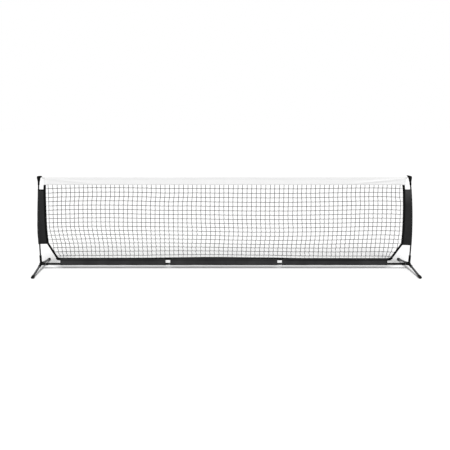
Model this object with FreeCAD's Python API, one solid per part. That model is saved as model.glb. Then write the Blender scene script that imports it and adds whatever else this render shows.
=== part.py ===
import FreeCAD, Part
import math
import os

from collections import namedtuple
from FreeCAD import Placement, Rotation, Vector

os.makedirs("parts", exist_ok=True)

# Axes: +X along the net to the right, +Y away from the front, +Z up.
# The origin is on the floor, under the middle of the net. All sizes are in millimetres.

# Overall layout
half_span = 1829.0
bar_height = 53.0
foot_reach = 300.0
foot_axis_height = 12.0

# Corner hub
hub_core_radius = 17.0
hub_solid_depth = 14.0
pole_socket_diameter = 22.0
pole_socket_top = 139.0
bar_socket_diameter = 27.0
bar_socket_length = 69.0
leg_socket_diameter = 26.0
leg_socket_length = 62.0
socket_bead_height = 1.0
socket_bead_width = 6.0
socket_lead_in = 1.0
gusset_size = 16.0
gusset_thickness = 5.0

# Tubes of the base bar
bar_diameter = 22.0
bar_wall = 1.5
bar_joint_x = 540.0
swage_length = 60.0
swage_taper = 4.0
swage_wall = 1.4
tube_clearance = 0.2
seat_gap = 0.3

# Legs and their rubber caps
leg_diameter = 21.0
leg_wall = 1.5
cap_wall = 3.0
cap_length = 36.0
cap_floor = 4.0
cap_edge = 2.0
cap_clearance = 0.1

# Spring-loaded locking buttons
button_diameter = 6.0
button_clearance = 0.15
button_flange = 0.9
button_flange_thickness = 0.8
button_proud = 1.3
button_dome = 1.0
outer_button_inset = 25.0
inner_button_inset = 15.0
spring_leaf = 0.6
spring_leaf_height = 6.0
spring_length = 22.0
spring_clearance = 0.1

# Flexible pole and its tip
pole_diameter = 13.5
pole_tip_height = 928.0
right_tip_lean = 71.0
left_tip_lean = 39.5
tip_cap_wall = 0.7
tip_cap_length = 26.0
tip_cap_top = 2.0

# Fabric, which hangs a little to the left of the middle, so that the right pole leans more
fabric_shift = -13.0
fabric_clearance = 0.15
net_thickness = 2.0
tape_width = 20.0
tape_leaf = 1.0
tape_seam = 1.0
edge_top_inset = 101.0
edge_corner_inset = 83.0
edge_corner_z = 258.0
edge_foot_inset = 177.0
edge_foot_z = 110.0

# White band along the top
headband_inset = 96.0
headband_height = 73.0
headband_tip_drop = 8.0
headband_ply = 0.9
net_tuck = 15.0

# Strap that runs inside the band to the pole tips
strap_width = 12.0
strap_thickness = 1.6
strap_drop = 10.0
strap_bend_gap = 4.0
strap_rise = 21.0
strap_tip_gap = 15.0

# Pocket over each pole tip
pocket_ply = 1.0
pocket_outer_reach = 19.0
pocket_inner_reach = 32.0
pocket_outer_rise = 1.0
pocket_inner_rise = 13.0
pocket_depth = 82.0
pocket_pinch_depth = 48.0
pocket_pinch_reach = 11.0
pocket_headroom = 1.0

# Grey sleeve panel between each pole and the net
sleeve_top_drop = 44.0
sleeve_ply = 0.9
sleeve_ease = 0.35

# Sleeve around the base bar
bottom_sleeve_inset = 207.0
window_before_joint = 9.0
window_past_joint = 38.0
bottom_sleeve_ply = 0.7
bottom_sleeve_neck_z = 94.0

# Net openings
net_gap_columns = 32
net_gap_rows = 7
net_cord = 2.0

# Worked-out values shared by several pieces
bar_radius = bar_diameter / 2
bar_bore = bar_radius - bar_wall
swage_radius = bar_bore - tube_clearance
swage_bore = swage_radius - swage_wall
leg_radius = leg_diameter / 2
pole_radius = pole_diameter / 2
button_radius = button_diameter / 2
cap_radius = leg_radius + cap_clearance + cap_wall
leg_slope = math.atan2(bar_height - foot_axis_height, foot_reach)
leg_length = math.hypot(bar_height - foot_axis_height, foot_reach)
leg_direction = Vector(0, -math.cos(leg_slope), -math.sin(leg_slope))
hub_center = Vector(half_span, 0, bar_height)
slot_width = net_thickness + 2 * fabric_clearance
tape_thickness = slot_width + 2 * tape_leaf
headband_thickness = slot_width + 2 * headband_ply
headband_top = pole_tip_height - headband_tip_drop
headband_bottom = headband_top - headband_height
strap_z = headband_top - strap_drop
sleeve_bottom = edge_corner_z
sleeve_top = headband_bottom - sleeve_top_drop
edge_top_x = half_span - edge_top_inset
edge_corner_x = half_span - edge_corner_inset
edge_foot_x = half_span - edge_foot_inset
headband_half_length = half_span - headband_inset
bottom_sleeve_reach = half_span - bottom_sleeve_inset
window_near_x = bar_joint_x - window_before_joint
window_far_x = bar_joint_x + window_past_joint
pocket_bottom = pole_tip_height - pocket_depth
pocket_pinch_height = pole_tip_height - pocket_pinch_depth
outer_button_x = half_span - bar_socket_length + outer_button_inset
inner_button_x = bar_joint_x + inner_button_inset
side_bar_inner_x = bar_joint_x + seat_gap
side_bar_outer_x = half_span - hub_solid_depth - seat_gap

# The two ends of the net: how far the pole's tip leans in, and the fabric's shift measured outward
End = namedtuple("End", ["tip_lean", "fabric_out"])
right_end = End(right_tip_lean, fabric_shift)
left_end = End(left_tip_lean, -fabric_shift)


def save(shape, name):
    """Writes one piece as its own file."""
    if not shape.isValid():
        raise RuntimeError(name + " is not a valid shape")
    shape.exportStep("parts/" + name + ".step")


def other_side(shape):
    """The same piece mirrored to the left end of the net."""
    return shape.mirror(Vector(0, 0, 0), Vector(1, 0, 0))


def rear_side(shape):
    """The same piece mirrored from the front to the rear."""
    return shape.mirror(Vector(0, 0, 0), Vector(0, 1, 0))


def save_pair(shape, name):
    """Writes a right-hand piece and its left-hand mirror image."""
    save(shape, name + "_right")
    save(other_side(shape), name + "_left")


def save_ends(make, name):
    """Writes a piece that differs at the two ends, modelled at the right for both."""
    save(make(right_end), name + "_right")
    save(other_side(make(left_end)), name + "_left")


def shifted(shape, distance):
    """A copy moved along the net."""
    moved = shape.copy()
    moved.translate(Vector(distance, 0, 0))
    return moved


def save_fabric(shape, name):
    """Writes a piece of the net's fabric where the net hangs."""
    save(shifted(shape, fabric_shift), name)


def along(shape, origin, direction):
    """Moves a shape made along +Z from the origin so that it runs along a direction."""
    moved = shape.copy()
    moved.Placement = Placement(origin, Rotation(Vector(0, 0, 1), direction))
    return moved


def rod(radius, start, end):
    """A plain cylinder between two points."""
    step = end - start
    return Part.makeCylinder(radius, step.Length, start, step)


def revolved(profile):
    """A solid of revolution about Z from (radius, height) points."""
    points = [Vector(radius, 0, height) for radius, height in profile]
    face = Part.Face(Part.makePolygon(points + points[:1]))
    return face.revolve(Vector(0, 0, 0), Vector(0, 0, 1), 360)


def plate(points, thickness):
    """A flat sheet from (x, z) points, centred on the plane of the net."""
    corners = [Vector(x, -thickness / 2, z) for x, z in points]
    face = Part.Face(Part.makePolygon(corners + corners[:1]))
    return face.extrude(Vector(0, thickness, 0))


# Corner hub: a moulded block with one socket up, one inward and one for each leg


def socket_blank(diameter, length):
    """Outside of a socket, with a bead round its mouth."""
    r = diameter / 2
    bead = r + socket_bead_height
    profile = [
        (0, 0),
        (r, 0),
        (r, length - socket_bead_width),
        (bead, length - socket_bead_width),
        (bead, length - socket_lead_in),
        (bead - socket_lead_in, length),
        (0, length),
    ]
    return revolved(profile)


def gusset(first, second, first_radius, second_radius):
    """A triangular web in the corner between two sockets."""
    low = hub_center + first * (second_radius + gusset_size) + second * (first_radius / 2)
    high = hub_center + second * (first_radius + gusset_size) + first * (second_radius / 2)
    normal = first.cross(second).normalize()
    start = hub_center - normal * (gusset_thickness / 2)
    shift = start - hub_center
    points = [start, low + shift, high + shift, start]
    return Part.Face(Part.makePolygon(points)).extrude(normal * gusset_thickness)


def button_hole(x, reach):
    """Round hole in the front wall of a tube at a button."""
    radius = button_radius + button_clearance
    return rod(radius, Vector(x, 0, bar_height), Vector(x, -reach, bar_height))


def make_hub():
    up = Vector(0, 0, 1)
    inward = Vector(-1, 0, 0)
    front = leg_direction
    rear = Vector(0, -leg_direction.y, leg_direction.z)
    pole_socket_r = pole_socket_diameter / 2
    bar_socket_r = bar_socket_diameter / 2
    leg_socket_r = leg_socket_diameter / 2
    body = Part.makeSphere(hub_core_radius, hub_center)
    sockets = [
        (pole_socket_diameter, pole_socket_top - bar_height, up),
        (bar_socket_diameter, bar_socket_length, inward),
        (leg_socket_diameter, leg_socket_length, front),
        (leg_socket_diameter, leg_socket_length, rear),
    ]
    for diameter, length, direction in sockets:
        body = body.fuse(along(socket_blank(diameter, length), hub_center, direction))
    body = body.fuse(gusset(inward, up, bar_socket_r, pole_socket_r))
    body = body.fuse(gusset(front, up, leg_socket_r, pole_socket_r))
    body = body.fuse(gusset(rear, up, leg_socket_r, pole_socket_r))
    bores = [
        (pole_radius + tube_clearance, pole_socket_top - bar_height, up),
        (bar_radius + tube_clearance, bar_socket_length, inward),
        (leg_radius + tube_clearance, leg_socket_length, front),
        (leg_radius + tube_clearance, leg_socket_length, rear),
    ]
    for radius, length, direction in bores:
        start = hub_center + direction * hub_solid_depth
        body = body.cut(rod(radius, start, hub_center + direction * (length + 1)))
    body = body.cut(button_hole(outer_button_x, bar_socket_diameter))
    return body.removeSplitter()


# Base bar: two side tubes and a centre tube whose swaged ends plug into them


def make_side_bar():
    inner = Vector(side_bar_inner_x, 0, bar_height)
    outer = Vector(side_bar_outer_x, 0, bar_height)
    tube = rod(bar_radius, inner, outer).cut(rod(bar_bore, inner, outer))
    tube = tube.cut(button_hole(outer_button_x, bar_diameter))
    return tube.cut(button_hole(inner_button_x, bar_diameter))


def make_center_bar():
    swage_start = bar_joint_x
    taper_start = bar_joint_x - swage_taper
    swage_end = bar_joint_x + swage_length
    half_outside = [(bar_radius, taper_start), (swage_radius, swage_start), (swage_radius, swage_end)]
    half_inside = [(swage_bore, swage_end), (swage_bore, swage_start), (bar_bore, taper_start)]
    half = half_outside + half_inside
    other_half = [(radius, -height) for radius, height in reversed(half)]
    tube = along(revolved(half + other_half), Vector(0, 0, bar_height), Vector(1, 0, 0))
    tube = tube.cut(button_hole(inner_button_x, bar_diameter))
    return tube.cut(button_hole(-inner_button_x, bar_diameter))


# Locking buttons, each riveted to a bent leaf spring inside its tube


def flange_seat(bore):
    """Distance from the tube's axis to the back of a button's flange."""
    flange_radius = button_radius + button_flange
    contact = math.sqrt(bore**2 - flange_radius**2)
    return contact - spring_clearance - button_flange_thickness


def make_button(x, bore, outer_radius):
    back = flange_seat(bore)
    tip = outer_radius + button_proud
    flange_front = back + button_flange_thickness
    profile = [
        (0, back),
        (button_radius + button_flange, back),
        (button_radius + button_flange, flange_front),
        (button_radius, flange_front),
        (button_radius, tip - button_dome),
        (button_radius - button_dome, tip),
        (0, tip),
    ]
    return along(revolved(profile), Vector(x, 0, bar_height), Vector(0, -1, 0))


def make_button_spring(x, bore, direction):
    """A bent leaf: the front arm carries the button and the rear arm presses on the tube."""
    front = -flange_seat(bore)
    rear = math.sqrt(bore**2 - (spring_leaf_height / 2) ** 2) - spring_clearance
    middle = (front + rear) / 2
    turn = (rear - front) / 2
    z = bar_height - spring_leaf_height / 2
    start = x - direction * (button_radius + button_flange)
    bend = x + direction * (spring_length - turn)

    def leaf_turn(inset):
        low = Vector(bend, front + inset, z)
        side = Vector(bend + direction * (turn - inset), middle, z)
        high = Vector(bend, rear - inset, z)
        return Part.Arc(low, side, high).toShape(), low, high

    outer_arc, outer_low, outer_high = leaf_turn(0)
    inner_arc, inner_low, inner_high = leaf_turn(spring_leaf)
    edges = [
        Part.makeLine(Vector(start, outer_low.y, z), outer_low),
        outer_arc,
        Part.makeLine(outer_high, Vector(start, outer_high.y, z)),
        Part.makeLine(Vector(start, outer_high.y, z), Vector(start, inner_high.y, z)),
        Part.makeLine(Vector(start, inner_high.y, z), inner_high),
        inner_arc,
        Part.makeLine(inner_low, Vector(start, inner_low.y, z)),
        Part.makeLine(Vector(start, inner_low.y, z), Vector(start, outer_low.y, z)),
    ]
    face = Part.Face(Part.Wire(Part.__sortEdges__(edges)))
    return face.extrude(Vector(0, 0, spring_leaf_height))


# Legs: straight tubes that plug into the hub and slope down to rubber caps


def leg_point(distance):
    """A point on the front right leg's axis, by its distance from the hub's centre."""
    return hub_center + leg_direction * distance


def make_leg():
    inner = leg_point(hub_solid_depth + seat_gap)
    outer = leg_point(leg_length - cap_floor - seat_gap)
    return rod(leg_radius, inner, outer).cut(rod(leg_radius - leg_wall, inner, outer))


def make_cap():
    bore = leg_radius + cap_clearance
    profile = [
        (bore, 0),
        (cap_radius, 0),
        (cap_radius, cap_length - cap_edge),
        (cap_radius - cap_edge, cap_length),
        (0, cap_length),
        (0, cap_length - cap_floor),
        (bore, cap_length - cap_floor),
    ]
    body = along(revolved(profile), leg_point(leg_length - cap_length), leg_direction)
    floor_block = Part.makeBox(
        4 * cap_radius,
        2 * foot_reach,
        bar_height,
        Vector(half_span - 2 * cap_radius, -2 * foot_reach, -bar_height),
    )
    return body.cut(floor_block)


# Poles: straight in the hub, then bowed inward by the tension of the net


def bow_radius(end):
    """Radius of the bow that carries the pole's tip inward by its lean."""
    rise = pole_tip_height - pole_socket_top
    return (rise**2 + end.tip_lean**2) / (2 * end.tip_lean)


def bow_angle(end, z):
    """Angle along the bow, in degrees, at a height above the floor."""
    return math.degrees(math.asin((z - pole_socket_top) / bow_radius(end)))


def pole_x(end, z):
    """Distance of the bowed pole's axis from the middle of the frame at a height."""
    return half_span - bow_radius(end) * (1 - math.cos(math.radians(bow_angle(end, z))))


def bowed_rod(end, radius, z_low, z_high):
    """Part of the bowed pole, or of the room around it, between two heights."""
    center = Vector(half_span - bow_radius(end), 0, pole_socket_top)
    axis = Vector(0, -1, 0)
    circle = Part.makeCircle(radius, Vector(half_span, 0, pole_socket_top), Vector(0, 0, 1))
    face = Part.Face(Part.Wire([circle]))
    face.rotate(center, axis, bow_angle(end, z_low))
    return face.revolve(center, axis, bow_angle(end, z_high) - bow_angle(end, z_low))


def make_pole(end):
    foot = Vector(half_span, 0, bar_height + hub_solid_depth + seat_gap)
    straight = rod(pole_radius, foot, Vector(half_span, 0, pole_socket_top))
    bowed = bowed_rod(end, pole_radius, pole_socket_top, pole_tip_height)
    return straight.fuse(bowed).removeSplitter()


def pole_point(end, z):
    """A point on the axis of the bowed pole, by its height above the floor."""
    return Vector(pole_x(end, z), 0, z)


def make_tip_cap(end):
    mouth = pole_point(end, pole_tip_height - tip_cap_length)
    tip = pole_point(end, pole_tip_height)
    step = (tip - mouth).normalize()
    outside = rod(pole_radius + tip_cap_wall, mouth, tip + step * tip_cap_top)
    hollow = rod(pole_radius + cap_clearance, mouth - step, tip + step * cap_clearance)
    return outside.cut(hollow)


# Paths in the plane of the net, as (x, z) points from the middle of the fabric


def offset_path(points, distance):
    """A path moved sideways to its left, with mitred corners."""
    moved = []
    for i, (x, z) in enumerate(points):
        before = points[max(i - 1, 0)]
        after = points[min(i + 1, len(points) - 1)]
        first = (x - before[0], z - before[1]) if i > 0 else (after[0] - x, after[1] - z)
        last = (after[0] - x, after[1] - z) if i < len(points) - 1 else first
        a = math.atan2(first[1], first[0])
        b = math.atan2(last[1], last[0])
        turn = math.remainder(b - a, 2 * math.pi) / 2
        reach = distance / math.cos(turn)
        side = a + turn + math.pi / 2
        moved.append((x + reach * math.cos(side), z + reach * math.sin(side)))
    return moved


edge_path = [
    (edge_top_x, headband_bottom - seat_gap),
    (edge_corner_x, edge_corner_z),
    (edge_foot_x, edge_foot_z),
    (-edge_foot_x, edge_foot_z),
    (-edge_corner_x, edge_corner_z),
    (-edge_top_x, headband_bottom - seat_gap),
]


def side_edge_x(z):
    """Centre line of the side tape at a height."""
    share = (z - edge_corner_z) / (edge_path[0][1] - edge_corner_z)
    return edge_corner_x + share * (edge_top_x - edge_corner_x)


# Net: one sheet with a grid of openings, its border tucked into the tape and the band


def clipped(points, inside, crossing):
    """A polygon cut by one border, given a test and the point where an edge crosses it."""
    kept = []
    for i, point in enumerate(points):
        last = points[i - 1]
        if inside(point) != inside(last):
            kept.append(crossing(last, point))
        if inside(point):
            kept.append(point)
    return kept


def clip_to_path(points, path):
    """A polygon cut back to the inner side of each run of a clockwise path."""
    for (x0, z0), (x1, z1) in zip(path, path[1:]):

        def height(p):
            return (x1 - x0) * (p[1] - z0) - (z1 - z0) * (p[0] - x0)

        def crossing(p, q):
            t = height(p) / (height(p) - height(q))
            return (p[0] + t * (q[0] - p[0]), p[1] + t * (q[1] - p[1]))

        points = clipped(points, lambda p: height(p) < 0, crossing)
    return points


def net_outline(inset):
    """The net's outline, a distance in from the middle of the tape, up into the band."""
    path = offset_path(edge_path, -inset)
    top = headband_bottom + net_tuck
    return [(path[0][0], top)] + path + [(path[-1][0], top)]


def make_net():
    outline = net_outline(tape_seam / 2)
    visible = offset_path(edge_path, -tape_width / 2 - net_cord)
    low = edge_foot_z + tape_width / 2 + net_cord / 2
    high = headband_bottom - net_cord / 2
    pitch_x = 2 * edge_corner_x / net_gap_columns
    pitch_z = (high - low) / net_gap_rows
    wires = []
    for column in range(net_gap_columns):
        x0 = -edge_corner_x + column * pitch_x + net_cord / 2
        x1 = x0 + pitch_x - net_cord
        for row in range(net_gap_rows):
            z0 = low + row * pitch_z + net_cord / 2
            z1 = z0 + pitch_z - net_cord
            gap = clip_to_path([(x0, z0), (x1, z0), (x1, z1), (x0, z1)], visible)
            if len(gap) > 2:
                corners = [Vector(x, -net_thickness / 2, z) for x, z in gap]
                wires.append(Part.makePolygon(corners + corners[:1]))
    border = [Vector(x, -net_thickness / 2, z) for x, z in outline]
    wires.insert(0, Part.makePolygon(border + border[:1]))
    face = Part.makeFace(wires, "Part::FaceMakerBullseye")
    return face.extrude(Vector(0, net_thickness, 0))


# Edge tape: black webbing folded over the border of the net and of the sleeves


def tape_strips():
    """One mitred strip for each run of the net's edge, from the right side round to the left."""
    outer = offset_path(edge_path, tape_width / 2)
    inner = offset_path(edge_path, -tape_width / 2)
    strips = []
    for i in range(len(edge_path) - 1):
        corners = [outer[i], outer[i + 1], inner[i + 1], inner[i]]
        middle_x = sum(x for x, z in corners) / 4
        middle_z = sum(z for x, z in corners) / 4
        length = math.dist(edge_path[i], edge_path[i + 1])
        share = 1 - seat_gap / length
        trimmed = [
            (middle_x + (x - middle_x) * share, middle_z + (z - middle_z) * share)
            for x, z in corners
        ]
        strips.append(plate(trimmed, tape_thickness))
    return strips


def sleeve_panel(end, grow):
    """Flat panel of a side sleeve, from the pole's axis to the seam in the tape."""
    low = sleeve_bottom - grow
    high = sleeve_top + grow
    middle = (low + high) / 2
    half = net_thickness / 2 + grow
    seam = end.fabric_out + tape_seam / 2 - grow
    lower = Vector(side_edge_x(low) + seam, -half, low)
    upper = Vector(side_edge_x(high) + seam, -half, high)
    pole_low = Vector(pole_x(end, low), -half, low)
    pole_middle = Vector(pole_x(end, middle), -half, middle)
    pole_high = Vector(pole_x(end, high), -half, high)
    edges = [
        Part.makeLine(lower, pole_low),
        Part.Arc(pole_low, pole_middle, pole_high).toShape(),
        Part.makeLine(pole_high, upper),
        Part.makeLine(upper, lower),
    ]
    return Part.Face(Part.Wire(edges)).extrude(Vector(0, 2 * half, 0))


def bottom_skirt_slot():
    """Room in the bottom tape for the upper edge of the bar's sleeve."""
    top = edge_foot_z - tape_seam / 2
    x = bottom_sleeve_reach + fabric_clearance
    low = edge_foot_z - tape_width
    return plate([(-x, low), (x, low), (x, top), (-x, top)], slot_width)


def make_tapes():
    net_room = plate(net_outline(tape_seam / 2 - fabric_clearance), slot_width)
    right_room = sleeve_panel(right_end, fabric_clearance)
    left_room = other_side(sleeve_panel(left_end, fabric_clearance))
    side_right, corner_right, bottom, corner_left, side_left = [
        strip.cut(net_room) for strip in tape_strips()
    ]
    save(shifted(side_right, fabric_shift).cut(right_room), "side_tape_right")
    save(shifted(side_left, fabric_shift).cut(left_room), "side_tape_left")
    save_fabric(corner_right, "corner_tape_right")
    save_fabric(corner_left, "corner_tape_left")
    save_fabric(bottom.cut(bottom_skirt_slot()), "bottom_tape")


# Side sleeves: a tube of cloth round the pole and a flat panel to the net's edge


def make_side_sleeve(end):
    inner_radius = pole_radius + sleeve_ease
    outer_radius = inner_radius + sleeve_ply
    tube = bowed_rod(end, outer_radius, sleeve_bottom, sleeve_top)
    room = bowed_rod(end, inner_radius, sleeve_bottom - 5, sleeve_top + 5)
    return tube.fuse(sleeve_panel(end, 0)).cut(room).removeSplitter()


# Bottom sleeves: cloth folded round the base bar, open at the two tube joints


def drop_face(radius, neck_half, neck_z):
    """A drop-shaped section round the bar, drawn up to a narrow neck."""
    rise = neck_z - bar_height
    reach = math.hypot(neck_half, rise)
    tilt = math.atan2(neck_half, rise) + math.acos(radius / reach)
    side_y = radius * math.sin(tilt)
    side_z = bar_height + radius * math.cos(tilt)
    neck_left = Vector(0, -neck_half, neck_z)
    neck_right = Vector(0, neck_half, neck_z)
    left = Vector(0, -side_y, side_z)
    right = Vector(0, side_y, side_z)
    bottom = Vector(0, 0, bar_height - radius)
    edges = [
        Part.makeLine(neck_left, left),
        Part.Arc(left, bottom, right).toShape(),
        Part.makeLine(right, neck_right),
    ]
    if neck_half > 0:
        edges.append(Part.makeLine(neck_right, neck_left))
    return Part.Face(Part.Wire(edges))


def make_bottom_sleeve(x_start, x_end):
    length = Vector(x_end - x_start, 0, 0)
    inner_radius = bar_radius + seat_gap
    outer = drop_face(inner_radius + bottom_sleeve_ply, net_thickness / 2, bottom_sleeve_neck_z)
    hollow_top = bottom_sleeve_neck_z - tape_width / 2
    inner = drop_face(inner_radius, 0, hollow_top)
    skirt_top = edge_foot_z - tape_seam / 2 - fabric_clearance
    skirt_low = bottom_sleeve_neck_z
    skirt = plate(
        [(x_start, skirt_low), (x_end, skirt_low), (x_end, skirt_top), (x_start, skirt_top)],
        net_thickness,
    )
    outer.translate(Vector(x_start, 0, 0))
    inner.translate(Vector(x_start, 0, 0))
    body = outer.extrude(length).cut(inner.extrude(length))
    return body.fuse(skirt).removeSplitter()


# Headband: white vinyl folded over the strap and the top border of the net


def make_headband():
    outer = headband_thickness / 2
    inner = slot_width / 2
    shoulder = headband_top - outer
    x = -headband_half_length

    def at(y, z):
        return Vector(x, y, z)

    edges = [
        Part.makeLine(at(-outer, headband_bottom), at(-outer, shoulder)),
        Part.Arc(at(-outer, shoulder), at(0, headband_top), at(outer, shoulder)).toShape(),
        Part.makeLine(at(outer, shoulder), at(outer, headband_bottom)),
        Part.makeLine(at(outer, headband_bottom), at(inner, headband_bottom)),
        Part.makeLine(at(inner, headband_bottom), at(inner, shoulder)),
        Part.Arc(at(inner, shoulder), at(0, shoulder + inner), at(-inner, shoulder)).toShape(),
        Part.makeLine(at(-inner, shoulder), at(-inner, headband_bottom)),
        Part.makeLine(at(-inner, headband_bottom), at(-outer, headband_bottom)),
    ]
    face = Part.Face(Part.Wire(edges))
    return face.extrude(Vector(2 * headband_half_length, 0, 0))


def strap_run(end):
    """The strap's path beyond the band: from its bend up to the pole tip."""
    bend_x = headband_half_length + end.fabric_out + strap_bend_gap
    tip_x = pole_x(end, pole_tip_height) - strap_tip_gap
    return [(bend_x, strap_z), (tip_x, strap_z + strap_rise)]


def strap_shape(width, thickness, right, left):
    """The strap along the band, rising at both ends to the pole tips."""
    path = [(-x, z) for x, z in reversed(strap_run(left))] + strap_run(right)
    upper = offset_path(path, width / 2)
    lower = offset_path(path, -width / 2)
    return plate(lower + list(reversed(upper)), thickness)


# Tip pockets: folded webbing cups that take the pull of the strap on the pole tips


def make_tip_pocket(end):
    inner_radius = pole_radius + tip_cap_wall + sleeve_ease
    outer_radius = inner_radius + pocket_ply
    top_x = pole_x(end, pole_tip_height)
    pinch_x = pole_x(end, pocket_pinch_height)
    bottom_x = pole_x(end, pocket_bottom)
    outline = [
        (bottom_x + outer_radius, pocket_bottom),
        (pinch_x + pocket_pinch_reach, pocket_pinch_height),
        (top_x + pocket_outer_reach, pole_tip_height + pocket_outer_rise),
        (top_x - pocket_inner_reach, pole_tip_height + pocket_inner_rise),
        (pinch_x - pocket_pinch_reach, pocket_pinch_height),
        (bottom_x - outer_radius, pocket_bottom),
    ]
    thickness = strap_thickness + 2 * fabric_clearance + 2 * pocket_ply
    panel = plate(outline, thickness)
    room_top = pole_tip_height + tip_cap_top + sleeve_ease
    cup = bowed_rod(end, outer_radius, pocket_bottom, room_top + pocket_headroom)
    room = bowed_rod(end, inner_radius, pocket_bottom - 5, room_top)
    room_width = strap_width + 2 * fabric_clearance
    room_thickness = strap_thickness + 2 * fabric_clearance
    strap_room = strap_shape(room_width, room_thickness, end, end)
    return panel.fuse(cup).cut(room).cut(strap_room).removeSplitter()


# Frame
save_pair(make_hub(), "corner_hub")
save_pair(make_side_bar(), "base_bar")
save(make_center_bar(), "base_bar_center")
save_ends(make_pole, "pole")
save_ends(make_tip_cap, "pole_tip_cap")

for name, make in (("leg", make_leg), ("foot_cap", make_cap)):
    front_piece = make()
    save_pair(front_piece, name + "_front")
    save_pair(rear_side(front_piece), name + "_rear")

# Locking buttons
socket_radius = bar_socket_diameter / 2
save_pair(make_button(outer_button_x, bar_bore, socket_radius), "hub_button")
save_pair(make_button_spring(outer_button_x, bar_bore, -1), "hub_button_spring")
save_pair(make_button(inner_button_x, swage_bore, bar_radius), "bar_button")
save_pair(make_button_spring(inner_button_x, swage_bore, -1), "bar_button_spring")

# Net, tape, sleeves and top band
save_fabric(make_net(), "net_mesh")
make_tapes()
save_ends(make_side_sleeve, "side_sleeve")
save_fabric(make_bottom_sleeve(window_far_x, bottom_sleeve_reach), "bottom_sleeve_right")
save_fabric(make_bottom_sleeve(-window_near_x, window_near_x), "bottom_sleeve_center")
save_fabric(make_bottom_sleeve(-bottom_sleeve_reach, -window_far_x), "bottom_sleeve_left")
save_fabric(make_headband(), "headband")
save(strap_shape(strap_width, strap_thickness, right_end, left_end), "top_strap")
save_ends(make_tip_pocket, "tip_pocket")
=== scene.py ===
import math
import random

import bmesh
import bpy
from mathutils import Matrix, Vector, noise


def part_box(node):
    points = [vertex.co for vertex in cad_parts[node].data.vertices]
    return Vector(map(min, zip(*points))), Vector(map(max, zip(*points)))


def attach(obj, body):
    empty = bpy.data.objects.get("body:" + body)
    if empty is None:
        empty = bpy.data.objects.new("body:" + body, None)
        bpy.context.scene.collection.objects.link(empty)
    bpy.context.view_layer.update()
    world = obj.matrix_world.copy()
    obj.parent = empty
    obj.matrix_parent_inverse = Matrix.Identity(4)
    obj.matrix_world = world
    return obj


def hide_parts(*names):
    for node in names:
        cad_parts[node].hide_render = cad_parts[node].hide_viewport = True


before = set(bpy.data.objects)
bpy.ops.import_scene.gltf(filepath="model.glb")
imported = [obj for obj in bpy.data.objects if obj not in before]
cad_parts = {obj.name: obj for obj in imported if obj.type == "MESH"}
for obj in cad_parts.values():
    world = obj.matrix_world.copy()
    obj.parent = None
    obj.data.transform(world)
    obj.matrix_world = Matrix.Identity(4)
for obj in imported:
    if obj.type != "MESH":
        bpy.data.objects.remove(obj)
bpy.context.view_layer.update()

# Axes as in the frame: +X along the net to the right, +Y away from the front, +Z up, in metres.
# A flat path is a list of (x, z) points in the plane of the net. A value that differs from side
# to side is given for the left (-1) and the right (1).

BODY = "net_frame"
SIDES = (("left", -1), ("right", 1))
FACES = (-1, 1)

# Camera of the photograph
CAMERA_PLACE = (-0.2326, -5.150, 1.693)
CAMERA_TILT = math.radians(76.435)
CAMERA_LENS = 43.392
CAMERA_SHIFT = 0.0518

# Light
SUN_STRENGTH = 2.8
SUN_ELEVATION = math.radians(54.5)
SUN_ANGLE = 0.44
SKY_STRENGTH = 0.30
FLOOR_SIZE = 40.0
FLOOR_GREY = 0.55
FLOOR_GLOW = 0.05
COAT_ROUGHNESS = 0.25

# Net: its cords, knots, laces and cells
CORD_WIDTH = 0.0050
CORD_DEPTH = 0.0017
CORD_SIDES = 6
CORD_OUT = 0.0003
LACE_SHARE = 0.55
LACE_HOLD = 0.003
LACE_SKEW = 0.001
KNOT_REACH = 0.0033
KNOT_DEPTH = 0.0017
MESH_PITCH = 0.04445
MESH_FIRST_X = -1.75215
MESH_COLUMNS = 79
MESH_OUTER = {-1: 1.7077, 1: 1.6885}
MESH_ROWS = 17
MESH_TOP_Z = 0.8185
MESH_ROW_PITCH = 0.04285
MESH_TUCK = 0.006

# Net: how its columns crowd at the sides, are drawn in low down and at the neck, and swing over
CROWD_IN = {-1: 0.04445, 1: 0.0265}
CROWD_REACH = {-1: 0.38, 1: 0.55}
DRAW_TOP_Z = 0.47
DRAW_DEPTH = 0.28
DRAW_IN = {-1: 0.036, 1: 0.011}
DRAW_REACH = {-1: 0.83, 1: 0.75}
NECK_X = 0.20
NECK_START = 0.38
NECK_BLEND = 0.22
NECK_LOW_Z = 0.65
NECK_DEPTH = 0.12
NECK_IN = {-1: 0.010, 1: 0.007}
NECK_EDGE = {-1: -1.0, 1: 1.1}
NECK_EDGE_REACH = 0.06
SWING = 0.0088
SWING_X = 0.28
SWING_REACH = 0.80
SWING_BLEND = 0.3
SWING_Z = 0.37
SWING_DEPTH = 0.10
SPREAD_SHARE = 0.011
SPREAD_DEPTH = 0.55
GATHER_REACH = 0.14
GATHER_GAP = 0.025

# Net: how its rows hang, and how its cords wander
SIDE_DROOP = 0.010
SIDE_DROOP_REACH = 0.13
BELLY_X = 0.42
BELLY_REACH = 1.15
BELLY_EDGE = 1.0
BELLY_SAG = 0.0150
SLUMP_X = -0.62
SLUMP_REACH = 0.30
SLUMP_SAG = 0.0065
FOOT_LIFT = 0.010
ROW_RIPPLE = 0.004
COLUMN_RIPPLE = 0.0028
KNOT_RIPPLE = 0.0016
CORD_RIPPLE = 0.0012
CORD_SAG = 0.0011
CORD_WANDER = 0.0009
JOG = 0.0016
CROSSING = 0.0042

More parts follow.
